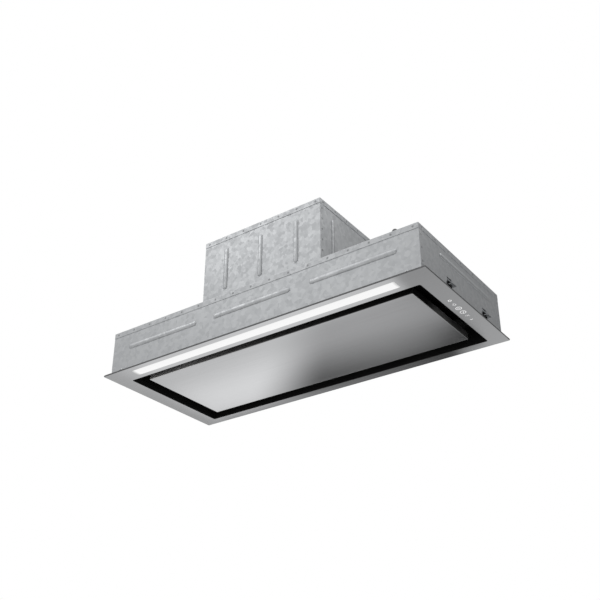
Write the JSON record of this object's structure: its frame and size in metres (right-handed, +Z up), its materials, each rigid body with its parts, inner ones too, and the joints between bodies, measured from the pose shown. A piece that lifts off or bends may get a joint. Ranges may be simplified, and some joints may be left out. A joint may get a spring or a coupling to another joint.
{
  "type": "built-in range hood",
  "caption": "Built-in range hood: folded stainless bezel with a light bar and touch controls, a drop-down perimeter intake panel, grease filters, blower box and round duct spigot with flaps.",
  "frame": {"origin": "centre of the bezel's seat plane, which rests against the cabinet underside", "axes": "+X to the right along the long side, +Y to the rear, +Z up into the cabinet"},
  "size_m": [0.86, 0.38, 0.3392],
  "materials": {
    "stainless": "brushed along the length",
    "galvanised": "galvanised sheet, faint spangle",
    "black_paint": "satin black",
    "zinc_screw": "zinc plated",
    "spring_steel": "bright spring steel",
    "filter_aluminium": "black anodised",
    "mill_aluminium": "mill finish",
    "white_plastic": "moulded",
    "opal_lens": "opal diffuser, lit",
    "circuit_board": "solder mask",
    "light_chip": "phosphor",
    "black_plastic": "moulded, fine grain",
    "case_plastic": "moulded, fine grain",
    "magnet": "ferrite",
    "motor_metal": "drawn can",
    "motor_iron": "laminated stack",
    "rubber": "soft black"
  },
  "bodies": {
    "hood": {"bezel": "stainless", "blower_box": "galvanised", "blower_feet": "galvanised", "board_components": "black_plastic", "catch_magnets": "magnet", "claw_springs": "spring_steel", "electronics_case": "case_plastic", "electronics_lid": "case_plastic", "filter_frame_left": "filter_aluminium", "filter_frame_right": "filter_aluminium", "filter_mesh_left": "filter_aluminium", "filter_mesh_right": "filter_aluminium", "filter_plate": "black_paint", "fixing_bushes": "galvanised", "flap_pin": "zinc_screw", "intake_surround": "black_paint", "latch_cups": "black_paint", "latch_spring_left": "spring_steel", "latch_spring_right": "spring_steel", "lead_grommets": "rubber", "leads": "rubber", "light_board": "circuit_board", "light_channel": "mill_aluminium", "light_chips": "light_chip", "light_end_caps": "white_plastic", "light_lens": "opal_lens", "main_board": "circuit_board", "mains_gland": "black_plastic", "motor_bearings": "zinc_screw", "motor_bracket": "galvanised", "motor_can": "motor_metal", "motor_cap": "motor_metal", "motor_dampers": "rubber", "motor_stator": "motor_iron", "outlet_collar": "black_plastic", "pivot_pins": "zinc_screw", "plenum_shell": "galvanised", "recess_brackets": "black_paint", "run_capacitor": "motor_metal", "screws": "zinc_screw", "scroll_left": "black_plastic", "scroll_right": "black_plastic", "shell_brackets": "galvanised", "touch_board": "circuit_board", "touch_housing": "black_paint"},
    "panel": {"intake_panel": "stainless", "panel_stiffeners": "galvanised", "hinge_arms": "galvanised", "catch_keepers": "galvanised"},
    "fan": {"impeller": "black_plastic", "motor_shaft": "zinc_screw", "motor_rotor": "motor_iron"},
    "flap_front": {"flap_front": "mill_aluminium"},
    "flap_rear": {"flap_rear": "mill_aluminium"},
    "latch_left": {"filter_latch_left": "black_paint"},
    "latch_right": {"filter_latch_right": "black_paint"},
    "claw_left_front": {"claw_left_front": "spring_steel"},
    "claw_left_rear": {"claw_left_rear": "spring_steel"},
    "claw_right_front": {"claw_right_front": "spring_steel"},
    "claw_right_rear": {"claw_right_rear": "spring_steel"}
  },
  "joints": [
    {"name": "panel_hinge", "type": "hinge", "parent": "hood", "child": "panel", "pos_m": [0, 0.143, 0.019], "axis": [1, 0, 0], "range_deg": [0, 90]},
    {"name": "impeller_spin", "type": "hinge", "parent": "hood", "child": "fan", "pos_m": [0, -0.037, 0.17], "axis": [1, 0, 0], "continuous": true},
    {"name": "flap_front_swing", "type": "hinge", "parent": "hood", "child": "flap_front", "pos_m": [0, 0.02, 0.3027], "axis": [-1, 0, 0], "range_deg": [0, 80]},
    {"name": "flap_rear_swing", "type": "hinge", "parent": "hood", "child": "flap_rear", "pos_m": [0, 0.02, 0.3027], "axis": [1, 0, 0], "range_deg": [0, 80]},
    {"name": "filter_latch_left_slide", "type": "slide", "parent": "hood", "child": "latch_left", "axis": [0, 1, 0], "range_m": [0, 0.009], "stiffness_N_per_m": 250, "springref_m": -0.004, "deforming": ["latch_spring_left"]},
    {"name": "filter_latch_right_slide", "type": "slide", "parent": "hood", "child": "latch_right", "axis": [0, 1, 0], "range_m": [0, 0.009], "stiffness_N_per_m": 250, "springref_m": -0.004, "deforming": ["latch_spring_right"]},
    {"name": "claw_left_front_swing", "type": "hinge", "parent": "hood", "child": "claw_left_front", "pos_m": [-0.411, -0.06, 0.037], "axis": [0, -1, 0], "range_deg": [0, 32], "stiffness_Nm_per_rad": 0.06, "springref_deg": -20.05},
    {"name": "claw_left_rear_swing", "type": "hinge", "parent": "hood", "child": "claw_left_rear", "pos_m": [-0.411, 0.1, 0.037], "axis": [0, -1, 0], "range_deg": [0, 32], "stiffness_Nm_per_rad": 0.06, "springref_deg": -20.05},
    {"name": "claw_right_front_swing", "type": "hinge", "parent": "hood", "child": "claw_right_front", "pos_m": [0.411, -0.06, 0.037], "axis": [0, 1, 0], "range_deg": [0, 32], "stiffness_Nm_per_rad": 0.06, "springref_deg": -20.05},
    {"name": "claw_right_rear_swing", "type": "hinge", "parent": "hood", "child": "claw_right_rear", "pos_m": [0.411, 0.1, 0.037], "axis": [0, 1, 0], "range_deg": [0, 32], "stiffness_Nm_per_rad": 0.06, "springref_deg": -20.05}
  ]
}
